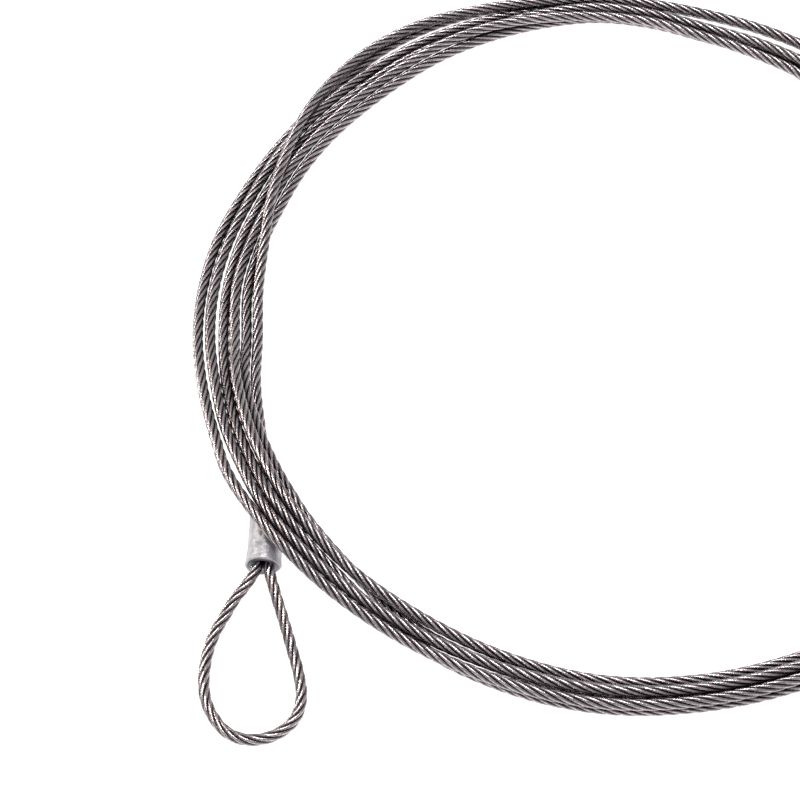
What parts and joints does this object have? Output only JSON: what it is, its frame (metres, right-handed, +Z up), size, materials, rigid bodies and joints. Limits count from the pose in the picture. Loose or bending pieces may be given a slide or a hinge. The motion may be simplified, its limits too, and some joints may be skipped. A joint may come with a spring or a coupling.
{
  "type": "wire rope sling",
  "caption": "Thin steel wire rope sling with a pressed soft eye at each end, wound into a loose round coil.",
  "frame": {"origin": "centre of the coil, on the surface that the sling lies on", "axes": "+Z up, away from that surface; the eye outside the coil points along -Y"},
  "size_m": [0.236, 0.244, 0.013],
  "materials": {
    "rope_steel": "bright drawn steel wire, lightly oiled",
    "ferrule_aluminium": "matte pressed aluminium"
  },
  "bodies": {
    "coil": {"rope_coil": "rope_steel", "lead_root_a": "rope_steel", "lead_root_b": "rope_steel"},
    "end_a": {"lead_rope_a": "rope_steel", "live_rope_a": "rope_steel", "dead_end_a": "rope_steel", "eye_rope_a": "rope_steel", "ferrule_a": "ferrule_aluminium"},
    "end_b": {"lead_rope_b": "rope_steel", "live_rope_b": "rope_steel", "dead_end_b": "rope_steel", "eye_rope_b": "rope_steel", "ferrule_b": "ferrule_aluminium"}
  },
  "joints": [
    {"name": "end_a_swing", "type": "hinge", "parent": "coil", "child": "end_a", "pos_m": [-0.09689, -0.05296, 0.0043], "axis": [0, 0, 1], "range_deg": [-10, 10], "stiffness_Nm_per_rad": 0.1},
    {"name": "end_b_swing", "type": "hinge", "parent": "coil", "child": "end_b", "pos_m": [0.0715, 0.032, 0.0043], "axis": [0, 0, 1], "range_deg": [-8, 8], "stiffness_Nm_per_rad": 0.1}
  ]
}
